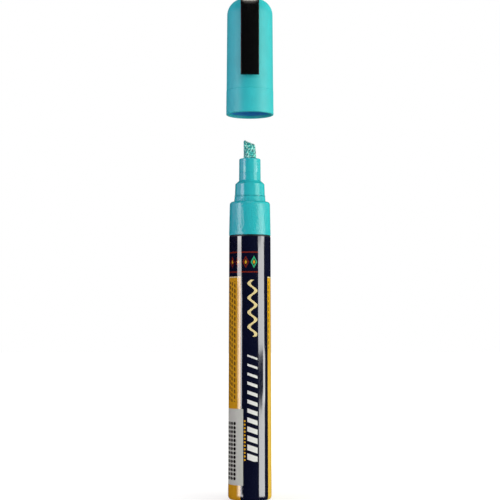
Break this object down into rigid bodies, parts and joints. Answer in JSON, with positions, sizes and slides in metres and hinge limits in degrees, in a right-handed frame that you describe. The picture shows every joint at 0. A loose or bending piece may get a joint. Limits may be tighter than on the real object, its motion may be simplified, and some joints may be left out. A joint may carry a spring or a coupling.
{
  "type": "liquid chalk marker",
  "caption": "Liquid chalk marker with a chisel fibre nib on a spring valve, stepped nozzle, printed film barrel, tail plug, mixing ball and a pull-off cap with a flat clip.",
  "frame": {"origin": "centre of the flat face under the tail plug, on which the pen stands", "axes": "+Z along the pen from the tail to the nib, -Y towards the clip side of the cap"},
  "size_m": [0.0174, 0.0196, 0.1826],
  "materials": {
    "turquoise_plastic": "moulded polypropylene, polished on the pen, satin on the cap",
    "clip_plastic": "black, polished",
    "seal_plastic": "natural polyethylene",
    "barrel_plastic": "near-black polypropylene",
    "printed_film": "glossy printed shrink film, dark navy with gold side panels",
    "nib_fibre": "bonded polyester fibre soaked with colour",
    "valve_plastic": "natural acetal",
    "valve_rubber": "soft seal ring",
    "spring_steel": "drawn stainless wire",
    "ball_steel": "ground stainless ball"
  },
  "bodies": {
    "pen": {"barrel": "barrel_plastic", "tail_plug": "barrel_plastic", "label_film": "printed_film", "front_collar": "turquoise_plastic", "nozzle": "turquoise_plastic", "valve_body": "valve_plastic", "valve_seal": "valve_rubber", "spring_cage": "valve_plastic", "valve_spring": "spring_steel"},
    "nib_and_stem": {"nib": "nib_fibre", "valve_stem": "valve_plastic"},
    "cap": {"cap_shell": "turquoise_plastic", "cap_clip": "clip_plastic", "cap_seal": "seal_plastic"},
    "ball": {"mixing_ball": "ball_steel"}
  },
  "joints": [
    {"name": "cap_slide", "type": "slide", "parent": "pen", "child": "cap", "axis": [0, 0, 1], "range_m": [-0.0443, 0]},
    {"name": "nib_press", "type": "slide", "parent": "pen", "child": "nib_and_stem", "axis": [0, 0, -1], "range_m": [0, 0.0013], "stiffness_N_per_m": 1400, "deforming": ["valve_spring"]},
    {"name": "ball_rattle", "type": "slide", "parent": "pen", "child": "ball", "axis": [0, 0, 1], "range_m": [0, 0.0715]}
  ]
}
